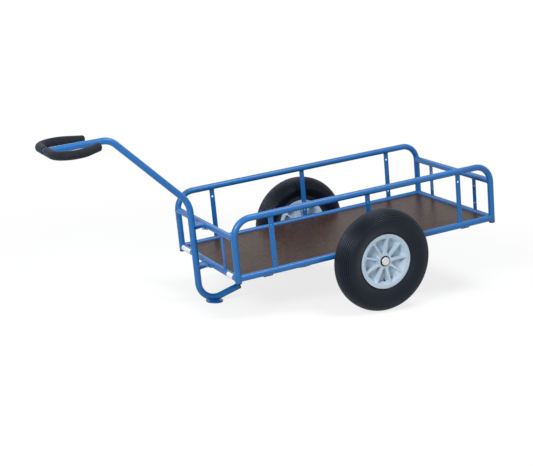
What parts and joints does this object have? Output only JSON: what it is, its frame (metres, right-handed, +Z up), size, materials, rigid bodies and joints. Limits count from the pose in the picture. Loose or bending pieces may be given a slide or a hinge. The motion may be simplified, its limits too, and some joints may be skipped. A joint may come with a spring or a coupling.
{
  "type": "platform hand cart",
  "caption": "Two-wheeled hand cart with a low deck, tube rails all round and a bent drawbar with a closed handle.",
  "frame": {"origin": "on the floor, below the middle of the bounding box", "axes": "+X forward, towards the handle; +Y to the cart's left; +Z up; the cart stands parked, leaned forward onto its foot"},
  "size_m": [1.8094, 0.79, 0.6714],
  "materials": {
    "blue_paint": "gloss powder coat",
    "plywood": "brown phenolic film",
    "rim_plastic": "satin light grey",
    "tyre": "matt black rubber",
    "foam": "fine black foam",
    "black_plastic": "satin",
    "white_plastic": "satin",
    "zinc_steel": "bright zinc plate"
  },
  "bodies": {
    "chassis": {"axle": "zinc_steel", "axle_cap_left": "zinc_steel", "axle_cap_right": "zinc_steel", "axle_carrier_left": "blue_paint", "axle_carrier_right": "blue_paint", "axle_collars": "zinc_steel", "base_cross_front": "blue_paint", "base_cross_rear": "blue_paint", "base_rail_left": "blue_paint", "base_rail_right": "blue_paint", "bearer_front": "blue_paint", "bearer_middle": "blue_paint", "bearer_rear": "blue_paint", "clamp_bolts": "zinc_steel", "clamp_lower": "blue_paint", "clamp_upper": "blue_paint", "deck": "plywood", "drawbar": "blue_paint", "drawbar_foot": "blue_paint", "drawbar_plug": "black_plastic", "end_bars_front": "blue_paint", "end_bars_rear": "blue_paint", "end_rail_front": "blue_paint", "end_rail_rear": "blue_paint", "grip_left": "foam", "grip_right": "foam", "handle_bar": "blue_paint", "leg_caps": "black_plastic", "side_bars_left": "blue_paint", "side_bars_right": "blue_paint", "side_hoop_left": "blue_paint", "side_hoop_right": "blue_paint"},
    "wheel_left": {"rim_left": "rim_plastic", "tyre_left": "tyre", "bearing_left": "white_plastic"},
    "wheel_right": {"rim_right": "rim_plastic", "tyre_right": "tyre", "bearing_right": "white_plastic"}
  },
  "joints": [
    {"name": "wheel_left_spin", "type": "hinge", "parent": "chassis", "child": "wheel_left", "pos_m": [-0.32982, 0.347, 0.202], "axis": [0, 1, 0], "continuous": true},
    {"name": "wheel_right_spin", "type": "hinge", "parent": "chassis", "child": "wheel_right", "pos_m": [-0.32982, -0.347, 0.202], "axis": [0, 1, 0], "continuous": true}
  ]
}
